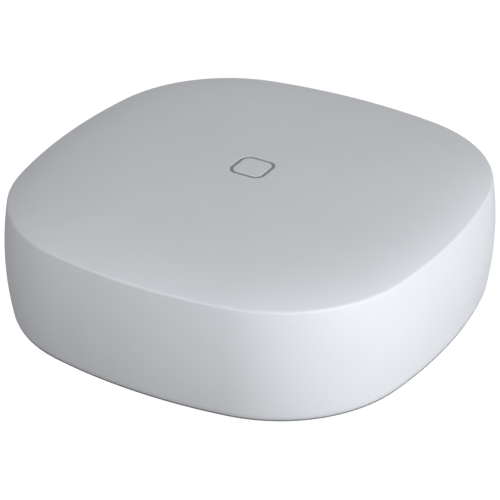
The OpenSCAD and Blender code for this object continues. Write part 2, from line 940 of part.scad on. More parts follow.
module light_board_screws() {
    color("#8d9095")
        for (p = light_places)
            translate([p[0], p[1], z_light_under])
                screw(board_screw_r - screw_fit, board_screw_l, board_head_r, board_head_h);
}

// Low housing with a slot for the flat lead in its front
module lead_socket() {
    difference() {
        translate([-lead_socket_size[0] / 2, -lead_socket_size[1] / 2, -lead_socket_size[2] / 2])
            cube(lead_socket_size);
        translate([-lead_w / 2 - 0.1, -lead_socket_size[1] / 2 - 1, -lead_t / 2])
            cube([lead_w + 0.2, lead_in + 1, lead_t]);
    }
}

module lead_sockets() {
    color("#e9e9e6") {
        translate([0, light_socket_y, z_lead_high])
            lead_socket();
        translate([0, board_socket_y, z_lead_low])
            lead_socket();
    }
}

// Quarter of a flat band's bend, about the origin of the plane it lies in
module quarter_bend(angle) {
    intersection() {
        difference() {
            circle(r = lead_bend + lead_t / 2, $fn = smooth);
            circle(r = lead_bend - lead_t / 2, $fn = smooth);
        }
        rotate(angle)
            square(2 * lead_bend);
    }
}

// The lead leaves both sockets forwards and bends down between them
module light_board_lead() {
    bend_y = lead_column + lead_bend;
    color("#e4e5e7")
        translate([-lead_w / 2, 0, 0])
            rotate([90, 0, 90])
                linear_extrude(lead_w) {
                    translate([bend_y, z_lead_high - lead_t / 2])
                        square([light_mouth - bend_y, lead_t]);
                    translate([bend_y, z_lead_high - lead_bend])
                        quarter_bend(90);
                    translate([lead_column - lead_t / 2, z_lead_low + lead_bend])
                        square([lead_t, z_lead_high - z_lead_low - 2 * lead_bend]);
                    translate([bend_y, z_lead_low + lead_bend])
                        quarter_bend(180);
                    translate([bend_y, z_lead_low - lead_t / 2])
                        square([board_mouth - bend_y, lead_t]);
                }
}

// ---------------------------------------------------------------- antennas

module antenna_boards() {
    color("#1f6b46")
        for (sx = [-1, 1])
            translate([sx * antenna_x - antenna_t / 2, -antenna_l / 2, z_floor])
                cube([antenna_t, antenna_l, antenna_h]);
}

// Round plugs where the leads meet the antenna boards and the main board
module antenna_plugs() {
    color("#c9b06a")
        for (sx = [-1, 1])
            mirror([sx < 0 ? 1 : 0, 0, 0]) {
                translate([coax_out_x, antenna_lead_y, z_coax_high])
                    rotate([0, 90, 0])
                        cylinder(r = plug_r, h = plug_t, $fn = round_fn);
                translate([board_plug_x, antenna_lead_y, z_board])
                    cylinder(r = plug_r, h = plug_t, $fn = round_fn);
            }
}

// Each lead runs in from its antenna board, bends down and lies along the main board
module antenna_leads() {
    turn_x = board_w / 2 + coax_bend;
    color("#3a3b3d")
        for (sx = [-1, 1])
            mirror([sx < 0 ? 1 : 0, 0, 0])
                translate([0, antenna_lead_y, 0]) {
                    translate([turn_x, 0, z_coax_high])
                        rotate([0, 90, 0])
                            cylinder(r = coax_r, h = coax_out_x - turn_x, $fn = round_fn);
                    coax_quarter(turn_x, z_coax_high - coax_bend, 90);
                    coax_quarter(turn_x - 2 * coax_bend, z_coax_low + coax_bend, 270);
                    translate([board_plug_x + plug_r, 0, z_coax_low])
                        rotate([0, 90, 0])
                            cylinder(
                                r = coax_r,
                                h = turn_x - 2 * coax_bend - board_plug_x - plug_r,
                                $fn = round_fn
                            );
                }
}

module coax_quarter(x, z, angle) {
    translate([x, 0, z])
        rotate([90, 0, 0])
            rotate(angle)
                rotate_extrude(angle = 90, $fn = smooth)
                    translate([coax_bend, 0])
                        circle(r = coax_r, $fn = round_fn);
}

outer_shell();
base_plate();
foot_pads();
base_screws();
rating_label();
port_panel();
light_ring();
light_shade();
light_board();
status_leds();
light_board_screws();
lead_sockets();
light_board_lead();
main_board();
board_screws();
power_inlet();
power_pin();
power_spring();
ethernet_jack();
ethernet_shield();
ethernet_contacts();
usb_shield();
usb_tongue();
usb_contacts();
reset_button();
reset_switch();
switch_plunger();
processor();
thermal_pad();
heat_sink();
memory_chips();
radio_chips();
radio_shields();
crystals();
network_transformer();
power_inductor();
power_capacitors();
chip_resistors();
antenna_boards();
antenna_plugs();
antenna_leads();
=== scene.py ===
"""Looks of a smart home hub: a low domed plastic body with a light ring and a rear socket bay."""

import json
import math

import bmesh
import bpy
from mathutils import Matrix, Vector


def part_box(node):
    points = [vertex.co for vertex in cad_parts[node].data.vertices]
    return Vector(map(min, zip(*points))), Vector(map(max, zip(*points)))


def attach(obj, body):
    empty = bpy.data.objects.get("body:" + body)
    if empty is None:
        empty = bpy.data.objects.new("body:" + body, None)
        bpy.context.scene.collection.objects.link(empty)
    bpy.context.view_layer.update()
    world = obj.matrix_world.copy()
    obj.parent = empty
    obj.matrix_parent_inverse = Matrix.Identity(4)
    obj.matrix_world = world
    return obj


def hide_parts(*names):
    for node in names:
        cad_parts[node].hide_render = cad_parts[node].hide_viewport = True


bl_info = {
    "name": "Smart Home Hub",
    "version": (1, 0, 0),
    "blender": (4, 5, 0),
    "location": "3D View > Sidebar > Hub",
    "description": "Builds the visible pieces, finishes, stage and light of a smart home hub",
    "category": "Object",
}

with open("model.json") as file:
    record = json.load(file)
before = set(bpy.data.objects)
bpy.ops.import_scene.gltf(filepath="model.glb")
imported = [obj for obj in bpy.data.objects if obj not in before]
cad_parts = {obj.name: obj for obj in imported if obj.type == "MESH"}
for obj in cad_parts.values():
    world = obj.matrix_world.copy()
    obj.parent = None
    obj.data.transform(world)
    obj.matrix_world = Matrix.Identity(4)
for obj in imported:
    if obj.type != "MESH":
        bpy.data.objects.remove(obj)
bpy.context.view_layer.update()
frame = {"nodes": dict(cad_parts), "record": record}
NODES = frame["nodes"]
MM = 0.001
HOUSING = "housing"
RESET = "reset"


# ---------------------------------------------------------------- sizes and colours


class HubBody(bpy.types.PropertyGroup):
    """Sizes of the moulded body, in metres unless said otherwise"""

    bulge: bpy.props.FloatProperty(
        name="Bulge", description="How far each wall bows out at mid-height",
        default=1.5 * MM, unit="LENGTH")
    flare: bpy.props.FloatProperty(
        name="Flare", description="How much further out the rim stands than the lower edge",
        default=0.2 * MM, unit="LENGTH")
    dome_rise: bpy.props.FloatProperty(
        name="Dome rise", description="Rise of the broad dome of the top",
        default=3.4 * MM, unit="LENGTH")
    edge_roll: bpy.props.FloatProperty(
        name="Edge roll", description="Fall of the top where it rolls over to the rim",
        default=2.7 * MM, unit="LENGTH")
    roll_power: bpy.props.FloatProperty(
        name="Roll power", description="Sharpness of the roll, larger keeps it nearer the rim",
        default=9.0)
    edge_radius: bpy.props.FloatProperty(
        name="Edge radius", description="Radius of the edge where the top meets the walls",
        default=1.3 * MM, unit="LENGTH")
    side_radius: bpy.props.FloatProperty(
        name="Side radius", description="Radius of the gently curved sides, seen from above",
        default=167 * MM, unit="LENGTH")
    corner_radius: bpy.props.FloatProperty(
        name="Corner radius", description="Radius of the corners, seen from above",
        default=45.6 * MM, unit="LENGTH")
    wall: bpy.props.FloatProperty(
        name="Wall", description="Wall thickness of the moulding",
        default=2.2 * MM, unit="LENGTH")
    lip: bpy.props.FloatProperty(
        name="Lip radius", description="Rounding of the lower edge and of the bay's edge",
        default=0.25 * MM, unit="LENGTH")
    bay_width: bpy.props.FloatProperty(
        name="Bay width", description="Width of the opening in the rear wall",
        default=62 * MM, unit="LENGTH")
    bay_height: bpy.props.FloatProperty(
        name="Bay height", description="Height of the opening in the rear wall",
        default=16.4 * MM, unit="LENGTH")
    bay_radius: bpy.props.FloatProperty(
        name="Bay corner radius", description="Corner radius of the opening in the rear wall",
        default=2.5 * MM, unit="LENGTH")
    ring_radius: bpy.props.FloatProperty(
        name="Ring corner radius", description="Corner radius of the light ring's middle line",
        default=2.9 * MM, unit="LENGTH")
    ring_line: bpy.props.FloatProperty(
        name="Ring line", description="Width of the light ring's line",
        default=0.96 * MM, unit="LENGTH")
    ring_seam: bpy.props.FloatProperty(
        name="Ring seam", description="Gap and rounding beside the light ring",
        default=0.05 * MM, unit="LENGTH")


class HubFinish(bpy.types.PropertyGroup):
    """Colours of the finishes, as sRGB hex values, and the stage's light"""

    body_colour: bpy.props.StringProperty(
        name="Body colour", description="White of the moulded body", default="#EFF2F7")
    # Grey of the base plate and the socket panel. On the base plate's thin edge below the body this
    # grey is also painted shade: it stands in for the shaded line under the body's lower edge
    base_grey_and_edge_shade: bpy.props.StringProperty(
        name="Base grey and painted edge shade", description="Grey of the base plate and the socket panel",
        default="#85888C")
    ring_colour: bpy.props.StringProperty(
        name="Ring colour", description="Grey of the unlit light ring", default="#9DA0A4")
    board_colour: bpy.props.StringProperty(
        name="Board colour", description="Solder mask of the circuit boards", default="#1B5A3C")
    key_power: bpy.props.FloatProperty(
        name="Key light", description="Power of the large soft light at the right",
        default=8.0, unit="POWER")
    fill: bpy.props.FloatProperty(
        name="Fill light", description="Strength of the even light from all round", default=0.17)


class HubView(bpy.types.PropertyGroup):
    """Place of the camera round the object"""

    azimuth: bpy.props.FloatProperty(
        name="Azimuth", description="Turn of the camera round the object, from the front",
        default=math.radians(30.07), subtype="ANGLE", unit="ROTATION")
    elevation: bpy.props.FloatProperty(
        name="Elevation", description="Height of the camera above level",
        default=math.radians(30.38), subtype="ANGLE", unit="ROTATION")
    roll: bpy.props.FloatProperty(
        name="Roll", description="Turn of the camera about its own axis",
        default=math.radians(0.08), subtype="ANGLE", unit="ROTATION")
    distance: bpy.props.FloatProperty(
        name="Distance", description="Distance from the camera to the object's foot",
        default=712.6 * MM, unit="LENGTH")
    side_shift: bpy.props.FloatProperty(
        name="Side shift", description="Shift of the camera to its right",
        default=-0.735 * MM, unit="LENGTH")
    rise_shift: bpy.props.FloatProperty(
        name="Rise", description="Shift of the camera to its top",
        default=11.71 * MM, unit="LENGTH")
    focal_length: bpy.props.FloatProperty(
        name="Focal length", default=162.5,
        description="Focal length of the lens, in millimetres on a 36 mm sensor")


# ---------------------------------------------------------------- outline of the body

AROUND = 288  # points in each loop round the body


class Outline:
    """Four side arcs and four corner arcs; all lengths are shares of the half-width"""

    def __init__(self, half, side_radius, corner_radius):
        self.side = side_radius / half
        self.corner = corner_radius / half
        self.side_centre = 1 - self.side
        span = 2 * (self.side - self.corner) ** 2 - self.side_centre**2
        self.corner_centre = (self.side_centre + math.sqrt(span)) / 2
        turn = math.atan2(self.corner_centre, self.corner_centre - self.side_centre)
        self.join_x = self.side_centre + self.side * math.cos(turn)
        self.join_y = self.side * math.sin(turn)
        self.join_angle = math.atan2(self.join_y, self.join_x)

    def reach(self, angle):
        """Distance of the outline from the centre in a direction"""
        folded = abs((angle + math.pi / 4) % (math.pi / 2) - math.pi / 4)
        if folded <= self.join_angle:
            across = self.side_centre * math.sin(folded)
            return self.side_centre * math.cos(folded) + math.sqrt(self.side**2 - across**2)
        along = self.corner_centre * (math.cos(folded) + math.sin(folded))
        return along + math.sqrt(along**2 - 2 * self.corner_centre**2 + self.corner**2)

    def depth(self, half, x):
        """Distance of a side from the centre line, at a place x along it"""
        share = abs(x) / half
        if share <= self.join_y:
            return half * (self.side_centre + math.sqrt(self.side**2 - share**2))
        across = share - self.corner_centre
        return half * (self.corner_centre + math.sqrt(self.corner**2 - across**2))


class BodyForm:
    """The body's surfaces, worked out from its sizes and the frame's boxes"""

    def __init__(self, body):
        low, high = (Vector(c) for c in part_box("outer_shell"))
        self.wall = body.wall
        self.z_low = low.z
        self.z_top = high.z
        self.z_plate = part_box("base_plate")[0][2]
        self.z_rim = self.z_top - body.dome_rise - body.edge_roll
        self.height = self.z_rim - self.z_plate
        width = high.x - low.x
        self.low_half = width / 2 - body.bulge - body.flare / 2
        self.rim_half = self.low_half + body.flare
        self.bulge = body.bulge
        self.flare = body.flare
        self.dome_rise = body.dome_rise
        self.edge_roll = body.edge_roll
        self.roll_power = body.roll_power
        self.edge_radius = body.edge_radius
        self.outline = Outline(width / 2, body.side_radius, body.corner_radius)

    def wall_half(self, z):
        """Half-width of the walls at a height"""
        s = (z - self.z_plate) / self.height
        return self.low_half + self.flare * s + 4 * self.bulge * s * (1 - s)

    def top(self, share):
        """Height of the top at a share of the way from the centre to the rim"""
        roll = self.edge_roll * (1 - share**self.roll_power)
        return self.z_rim + self.dome_rise * (1 - share * share) + roll

    def edge(self, steps):
        """Rounded edge between the walls and the top, as (half-width, height)"""
        up = Vector((self.flare - 4 * self.bulge, self.height)).normalized()
        fall = 2 * self.dome_rise + self.roll_power * self.edge_roll
        inward = Vector((-self.rim_half, fall)).normalized()
        tangent = self.edge_radius * math.tan(up.angle(inward) / 2)
        point = Vector((self.rim_half, self.z_rim))
        start, end = point - up * tangent, point + inward * tangent
        shares = [i / steps for i in range(steps + 1)]
        return [start * (1 - f) ** 2 + point * 2 * f * (1 - f) + end * f**2 for f in shares]

    def loop(self, half, z):
        """Points round the outline of a half-width, at one height"""
        points = []
        for i in range(AROUND):
            angle = 2 * math.pi * i / AROUND
            r = half * self.outline.reach(angle)
            points.append(Vector((r * math.cos(angle), r * math.sin(angle), z)))
        return points


def square_reach(angle, half, radius):
    """Distance from the centre to a square with round corners, in a direction"""
    folded = abs((angle + math.pi / 4) % (math.pi / 2) - math.pi / 4)
    c, s = math.cos(folded), math.sin(folded)
    centre = half - radius
    if half * s / c <= centre:
        return half / c
    along = centre * (c + s)
    return along + math.sqrt(along**2 - 2 * centre**2 + radius**2)


# ---------------------------------------------------------------- mesh helpers


def new_object(name, mesh):
    piece = bpy.data.objects.new(name, mesh)
    bpy.context.scene.collection.objects.link(piece)
    return piece


def smooth(mesh, angle=None):
    """Smooth shading everywhere, or only across edges flatter than an angle"""
    mesh.polygons.foreach_set("use_smooth", [True] * len(mesh.polygons))
    if angle is not None:
        mesh.set_sharp_from_angle(angle=angle)


def bridge(bm, a, b):
    """Faces between two closed loops of vertices of the same length"""
    n = len(a)
    for i in range(n):
        bm.faces.new((a[i], a[(i + 1) % n], b[(i + 1) % n], b[i]))


def add_loop(bm, points):
    return [bm.verts.new(p) for p in points]


def circle(radius, sides):
    """Points round a circle, as (x, y)"""
    return [(radius * math.cos(2 * math.pi * i / sides), radius * math.sin(2 * math.pi * i / sides))
            for i in range(sides)]


def close_loop(bm, ring, point):
    """Fan of faces from a loop to one vertex in its middle"""
    middle = bm.verts.new(point)
    n = len(ring)
    for i in range(n):
        bm.faces.new((ring[i], ring[(i + 1) % n], middle))


def finish_mesh(bm, name, angle=None):
    """The finished mesh with its faces turned outward and its shading set"""
    bmesh.ops.recalc_face_normals(bm, faces=bm.faces)
    mesh = bpy.data.meshes.new(name)
    bm.to_mesh(mesh)
    bm.free()
    smooth(mesh, angle)
    return mesh


def mounted(piece, body, slot, *nodes):
    """The piece rides on a body and stands for its CAD nodes, with their finish"""
    piece.data.materials.clear()
    piece.data.materials.append(FINISHES[slot])
    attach(piece, body)
    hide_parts(*nodes)
    return piece


WELD = 1e-6  # vertices nearer than this, in metres, are one
FLAT_ANGLE = math.radians(0.5)  # faces that meet at less are joined into one
HARD_ANGLE = math.radians(30.0)  # edges that turn by more are rounded
CREASE_ANGLE = math.radians(40.0)  # edges that turn by more keep a crease in the shading
ROUND_SEGMENTS = 2


def softened(name, node, width, body=HOUSING):
    """Copy of a CAD node's solid whose hard edges are rounded by a width in millimetres"""
    bm = bmesh.new()
    bm.from_mesh(NODES[node].data)
    bmesh.ops.remove_doubles(bm, verts=bm.verts, dist=WELD)
    bmesh.ops.dissolve_limit(bm, angle_limit=FLAT_ANGLE, verts=bm.verts, edges=bm.edges)
    hard = [e for e in bm.edges
            if len(e.link_faces) == 2 and e.calc_face_angle(0) > HARD_ANGLE]
    bmesh.ops.bevel(
        bm, geom=hard, offset=width * MM, offset_type="OFFSET", segments=ROUND_SEGMENTS,
        profile=0.5, affect="EDGES", clamp_overlap=True, harden_normals=False)
    piece = new_object(name, finish_mesh(bm, name, CREASE_ANGLE))
    even = piece.modifiers.new("Even shading", "WEIGHTED_NORMAL")
    even.keep_sharp = True
    return mounted(piece, body, SLOT_OF[node], node)


# ---------------------------------------------------------------- finishes

FINISHES = {}
SLOT_OF = {row["node"]: row["material_slot"] for row in frame["record"]["subparts"]}
EVEN = (0.965, 1.015)  # darkest and lightest share of an evenly coloured moulding
MOULD_CLOUD = 18 * MM
METAL_CLOUD = 4 * MM
BORDER_INSET = 1.6 * MM
BORDER_HALF = 0.2 * MM
TRACK_SCALE = 6 * MM
CONDUCTOR_PITCH = 1 * MM
PIT_PITCH = 0.4 * MM


def linear(code):
    """sRGB hex colour as linear red, green, blue and alpha"""
    parts = [int(code[i:i + 2], 16) / 255 for i in (1, 3, 5)]
    return tuple(c / 12.92 if c <= 0.04045 else ((c + 0.055) / 1.055) ** 2.4
                 for c in parts) + (1.0,)


def shade(code, factor):
    """The same colour, lighter or darker by a factor"""
    return tuple(min(c * factor, 1.0) for c in linear(code)[:3]) + (1.0,)


def add_node(tree, kind, inputs, **settings):
    """Adds a node with its settings; an input is a value or another node's output"""
    node = tree.nodes.new(kind)
    for key, value in settings.items():
        setattr(node, key, value)
    for key, value in inputs.items():
        if isinstance(value, bpy.types.NodeSocket):
            tree.links.new(value, node.inputs[key])
        else:
            node.inputs[key].default_value = value
    return node


def add_finish(slot, title, colours, cloud, rough, grain, depth, stretch=(1, 1, 1),
               pattern=None, **surface):
    """Material for a slot. The colour runs between two colours with a soft cloud of a size,
    or with a pattern of the finish's own; the roughness and a relief of a real depth follow
    a fine grain of a size, which can be stretched into lines. Sizes are in metres"""
    material = bpy.data.materials.new(title)
    material.use_nodes = True
    tree = material.node_tree
    tree.nodes.clear()
    where = add_node(tree, "ShaderNodeTexCoord", {}).outputs["Object"]
    if pattern is None:
        share = add_node(tree, "ShaderNodeTexNoise", {
            "Vector": where, "Scale": 1 / cloud, "Detail": 2.0}).outputs["Fac"]
    else:
        share = pattern(tree, where)
    colour = add_node(tree, "ShaderNodeMix", {0: share, 6: colours[0], 7: colours[1]},
                      data_type="RGBA")
    drawn = add_node(tree, "ShaderNodeMapping", {"Vector": where, "Scale": stretch})
    fine = add_node(tree, "ShaderNodeTexNoise", {
        "Vector": drawn.outputs[0], "Scale": 1 / grain, "Detail": 3.0, "Roughness": 0.55})
    spread = add_node(tree, "ShaderNodeMapRange", {
        "Value": fine.outputs["Fac"], "From Min": 0.25, "From Max": 0.75,
        "To Min": rough[0], "To Max": rough[1]})
    bump = add_node(tree, "ShaderNodeBump", {
        "Height": fine.outputs["Fac"], "Distance": depth, "Strength": 1.0})
    shader = add_node(tree, "ShaderNodeBsdfPrincipled", {
        "Base Color": colour.outputs[2], "Roughness": spread.outputs["Result"],
        "Normal": bump.outputs["Normal"],
        **{key.replace("_", " "): value for key, value in surface.items()}})
    add_node(tree, "ShaderNodeOutputMaterial", {"Surface": shader.outputs[0]})
    FINISHES[slot] = material


def cloud_of(code, darkest, lightest):
    """A colour's darkest and lightest shade, as shares of it"""
    return shade(code, darkest), shade(code, lightest)


def label_border(tree, where):
    """1 on a printed line a little inside the label's edge"""
    low, high = (Vector(c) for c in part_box("rating_label"))
    middle = (low + high) / 2
    half = (high - low) / 2
    split = add_node(tree, "ShaderNodeSeparateXYZ", {"Vector": where})
    edges = []
    for axis, centre, reach in (("X", middle.x, half.x), ("Y", middle.y, half.y)):
        off = add_node(tree, "ShaderNodeMath", {0: split.outputs[axis], 1: centre},
                       operation="SUBTRACT")
        size = add_node(tree, "ShaderNodeMath", {0: off.outputs[0]}, operation="ABSOLUTE")
        edges.append(add_node(tree, "ShaderNodeMath", {0: reach, 1: size.outputs[0]},
                              operation="SUBTRACT").outputs[0])
    near = add_node(tree, "ShaderNodeMath", {0: edges[0], 1: edges[1]}, operation="MINIMUM")
    return add_node(tree, "ShaderNodeMath", {
        0: near.outputs[0], 1: BORDER_INSET, 2: BORDER_HALF}, operation="COMPARE").outputs[0]


def copper_tracks(tree, where):
    """1 on and 0 beside rows of broken tracks about 1.3 mm apart"""
    tracks = add_node(tree, "ShaderNodeTexBrick", {
        "Vector": where, "Scale": 1 / TRACK_SCALE, "Mortar Size": 0.06, "Mortar Smooth": 0.1,
        "Brick Width": 0.9, "Row Height": 0.22}, offset=0.37)
    return tracks.outputs["Fac"]


def flat_conductors(tree, where):
    """Stripes along a flat lead, one for each conductor"""
    split = add_node(tree, "ShaderNodeSeparateXYZ", {"Vector": where})
    wave = add_node(tree, "ShaderNodeMath", {
        0: split.outputs["X"], 1: 2 * math.pi / CONDUCTOR_PITCH}, operation="MULTIPLY")
    return add_node(tree, "ShaderNodeMath", {0: wave.outputs[0]}, operation="SINE").outputs[0]


def ceramic_pits(tree, where):
    """Small close pits, as pressed and fired powder has"""
    pits = add_node(tree, "ShaderNodeTexVoronoi", {"Vector": where, "Scale": 1 / PIT_PITCH})
    return pits.outputs["Distance"]


def make_finishes(look):
    """One material for each slot of the record, put on every CAD node"""
    # Injection-moulded ABS: an even white with a faint cloud, and the mould's spark-eroded
    # grain, which gives soft broad highlights and no mirror image
    add_finish("white_moulding", "Moulded ABS, white", cloud_of(look.body_colour, *EVEN),
               MOULD_CLOUD, (0.36, 0.44), 0.45 * MM, 0.004 * MM, IOR=1.5)
    # The same plastic from a coarser textured mould: duller than the body. Its grey is partly
    # painted shade: on the base plate's thin edge below the body it darkens the line that is really
    # shade under the body's lower edge
    add_finish("grey_moulding", "Textured ABS, grey and painted edge shade", cloud_of(look.base_grey_and_edge_shade, *EVEN),
               MOULD_CLOUD, (0.5, 0.64), 0.6 * MM, 0.02 * MM, IOR=1.5)
    # Polished mould: smooth and slightly glossy, a light guide without its light
    add_finish("light_guide", "Moulded acrylic, smoked", cloud_of(look.ring_colour, 0.9, 1.08),
               2 * MM, (0.2, 0.3), 2 * MM, 0.001 * MM, IOR=1.49, Coat_Weight=0.3)
    # Moulded rubber: matt, with a fine dusty speckle
    add_finish("rubber_feet", "Moulded rubber, black", (linear("#1B1C1D"), linear("#3A3B3D")),
               0.5 * MM, (0.75, 0.92), 0.5 * MM, 0.03 * MM, IOR=1.52)
    # Printed film: satin, with a plain border line
    add_finish("label_film", "Printed polyester film", (linear("#C7C9CC"), linear("#7C7F83")),
               1 * MM, (0.42, 0.52), 1.2 * MM, 0.002 * MM, pattern=label_border, IOR=1.6)
    # Solder mask over copper on woven glass: glossy green, tracks lighter than the ground
    add_finish("circuit_board", "Solder mask, green", cloud_of(look.board_colour, 1.35, 0.9),
               6 * MM, (0.26, 0.36), 0.6 * MM, 0.01 * MM, pattern=copper_tracks,
               IOR=1.5, Coat_Weight=0.25)
    # Clear resin cast over a yellow phosphor: smooth, wet-looking
    add_finish("led_lens", "Cast LED resin", (linear("#E9DC9C"), linear("#F6F2D4")),
               1 * MM, (0.12, 0.2), 1 * MM, 0.002 * MM, IOR=1.53)
    # Flat tinned conductors between clear films: bright stripes under a satin skin
    add_finish("flat_lead_film", "Laminated flat lead", (linear("#DADCDE"), linear("#9A9DA0")),
               1 * MM, (0.24, 0.34), 2 * MM, 0.002 * MM, pattern=flat_conductors, IOR=1.58)
    # Silicone filled with ceramic powder: soft and dull, with the filler's grain
    add_finish("thermal_silicone", "Filled silicone, blue-grey",
               (linear("#6E8AA6"), linear("#8FA9C2")),
               0.3 * MM, (0.7, 0.85), 0.3 * MM, 0.02 * MM, IOR=1.43)
    # Pressed and fired powders: dull, with pits
    add_finish("ferrite", "Sintered ferrite", cloud_of("#2E2E2F", 0.7, 1.2),
               1 * MM, (0.5, 0.75), 0.4 * MM, 0.02 * MM, pattern=ceramic_pits, IOR=1.7)
    add_finish("chip_ceramic", "Fired chip ceramic", cloud_of("#3B3A38", 0.7, 1.2),
               1 * MM, (0.5, 0.75), 0.4 * MM, 0.02 * MM, pattern=ceramic_pits, IOR=1.7)
    # Other mouldings: each an even colour, from matt reflector white to satin nylon
    for slot, title, code, rough, grain, depth, ior in (
            ("light_shade_moulding", "Moulded polycarbonate, reflective white", "#F4F4F0",
             (0.5, 0.6), 0.6, 0.01, 1.58),
            ("ivory_plastic", "Moulded nylon, ivory", "#E8E4D6", (0.4, 0.5), 0.5, 0.01, 1.53),
            ("black_plastic", "Moulded nylon, black glass-filled", "#26272A",
             (0.4, 0.58), 0.4, 0.02, 1.53),
            ("button_plastic", "Moulded ABS, light grey", "#C9CCD0",
             (0.36, 0.46), 0.4, 0.008, 1.5),
            ("chip_resin", "Moulded epoxy, chip black", "#27282B",
             (0.5, 0.66), 0.3, 0.01, 1.55),
            ("lead_jacket", "Extruded fluoropolymer, black", "#2B2C2F",
             (0.34, 0.46), 1.0, 0.01, 1.38)):
        add_finish(slot, title, cloud_of(code, *EVEN), MOULD_CLOUD, rough, grain * MM,
                   depth * MM, IOR=ior)
    # Metals: the fine lines that turning, drawing, rolling or extruding left, and faint stains
    for slot, title, code, rough, stretch, line in (
            ("screw_steel", "Zinc-plated steel, turned", "#B4B7BC", (0.28, 0.42), (1, 1, 6), 0.3),
            ("contact_metal", "Spring brass, gold-flashed", "#D9B866",
             (0.18, 0.3), (1, 6, 1), 0.25),
            ("plated_steel", "Tin-plated steel, rolled", "#C3C6CA", (0.24, 0.38), (8, 1, 1), 0.3),
            ("sink_aluminium", "Extruded aluminium", "#C5C8CB", (0.34, 0.5), (8, 1, 8), 0.3),
            ("capacitor_can", "Drawn aluminium can", "#CFD2D6", (0.22, 0.34), (6, 6, 1), 0.3)):
        add_finish(slot, title, cloud_of(code, 0.9, 1.05), METAL_CLOUD, rough, line * MM,
                   0.004 * MM, stretch, Metallic=1.0)
    for node, slot in SLOT_OF.items():
        carried = NODES[node].data.materials
        carried.clear()
        carried.append(FINISHES[slot])


class HUB_OT_finishes(bpy.types.Operator):
    """Make every finish and put it on the frame's pieces"""

    bl_idname = "hub.finishes"
    bl_label = "Finishes"

    def execute(self, context):
        make_finishes(context.scene.hub_finish)
        return {"FINISHED"}


# ---------------------------------------------------------------- body

WALL_ROWS = 24
EDGE_STEPS = 8
BODY_CREASE = math.radians(50)
ROUND_MIDDLE = 0.3  # share of a small rounding's size where its middle point lies
# Wall round the rear opening: half its width in columns, its margin, and the steps in half a
# corner of the opening
PATCH_COLUMNS = 27
PATCH_MARGIN = 2.2 * MM
CORNER_STEPS = 5
BAY_BELOW_BOARD = 0.8 * MM
LIP_TURNS = [math.radians(22.5 * i) for i in range(5)]
# Screw pillars: CAD node of their screws, height of the foot, radius, and the bore's radius
# and depth
PILLARS = (
    ("base_screws", 4.6 * MM, 3.6 * MM, 1.5 * MM, 11 * MM),
    ("light_board_screws", 35.0 * MM, 2.2 * MM, 1.1 * MM, 4.5 * MM),
)
PILLAR_SIDES = 40
PILLAR_SOFT = 0.15 * MM
PILLAR_SINK = 0.4 * MM  # how far a pillar runs into the dome's wall
# Light ring: depths of its groove and of the ring, flat margin beside it, rounding, blades
GROOVE_DEPTH = 0.85 * MM
RING_DEPTH = 0.78 * MM
RING_MARGIN = 0.5 * MM
RING_SOFT = 0.08 * MM
BLADE_WIDTH = 4 * MM
# Shares at which loops lie: border of the patch to the opening, rim to centre, dome to ring,
# ring to centre, and rim to centre on the inside
PATCH_LOOPS = (0.12, 0.26, 0.42, 0.58, 0.74, 0.88)
TOP_SHARES = (0.982, 0.972, 0.962, 0.951, 0.939, 0.926, 0.911, 0.894, 0.874, 0.85, 0.822,
              0.79, 0.75, 0.70, 0.64, 0.57, 0.49, 0.41, 0.33, 0.26)
TO_RING_SHARES = (0.3, 0.55, 0.75, 0.9, 1.0)
TO_CENTRE_SHARES = (0.75, 0.5, 0.25)
INNER_SHARES = (0.955, 0.93, 0.88, 0.8, 0.65, 0.4, 0.15)


class RearBay:
    """Opening in the rear wall, and the patch of wall round it"""

    def __init__(self, body, form):
        self.width = body.bay_width
        self.height = body.bay_height
        self.radius = body.bay_radius
        self.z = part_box("main_board")[1][2] - BAY_BELOW_BOARD + body.bay_height / 2
        self.form = form

    def frame(self, grow, counts):
        """Points of the opening's outline grown by an amount, as (x, z), counter-clockwise
        as seen from the front, starting in the middle of its low left corner"""
        radius = self.radius + grow
        cx, cz = self.width / 2 + grow - radius, self.height / 2 + grow - radius
        corners = ((-cx, -cz), (cx, -cz), (cx, cz), (-cx, cz))
        points = []
        for k, count in enumerate(counts):
            this, following = corners[k], corners[(k + 1) % 4]
            start = 225 + 90 * k
            middle = start + 45
            straight = count - 2 * CORNER_STEPS
            a = self.on_arc(this, radius, middle)
            b = self.on_arc(following, radius, middle)
            points += [self.on_arc(this, radius, start + 45 * i / CORNER_STEPS)
                       for i in range(CORNER_STEPS)]
            points += [(a[0] + (b[0] - a[0]) * i / straight, a[1] + (b[1] - a[1]) * i / straight)
                       for i in range(straight)]
            points += [self.on_arc(following, radius, middle + 45 * i / CORNER_STEPS)
                       for i in range(CORNER_STEPS)]
        return [(x, z + self.z) for x, z in points]

    @staticmethod
    def on_arc(centre, radius, degrees):
        turn = math.radians(degrees)
        return centre[0] + radius * math.cos(turn), centre[1] + radius * math.sin(turn)

    def on_wall(self, x, z, inset):
        """Point of the rear wall's surface, set in by a depth"""
        half = self.form.wall_half(z) - inset
        return Vector((x, self.form.outline.depth(half, x), z))


def patch_ring(rows, columns):
    """Indices of a block's border, counter-clockwise as seen from the front (row, column).
    Columns run from +X to -X over the rear, so the block's left side is its last column"""
    low, high = rows
    first, last = columns
    ring = [(low, c) for c in range(last, first, -1)]
    ring += [(r, first) for r in range(low, high)]
    ring += [(high, c) for c in range(first, last)]
    ring += [(r, last) for r in range(high, low, -1)]
    return ring


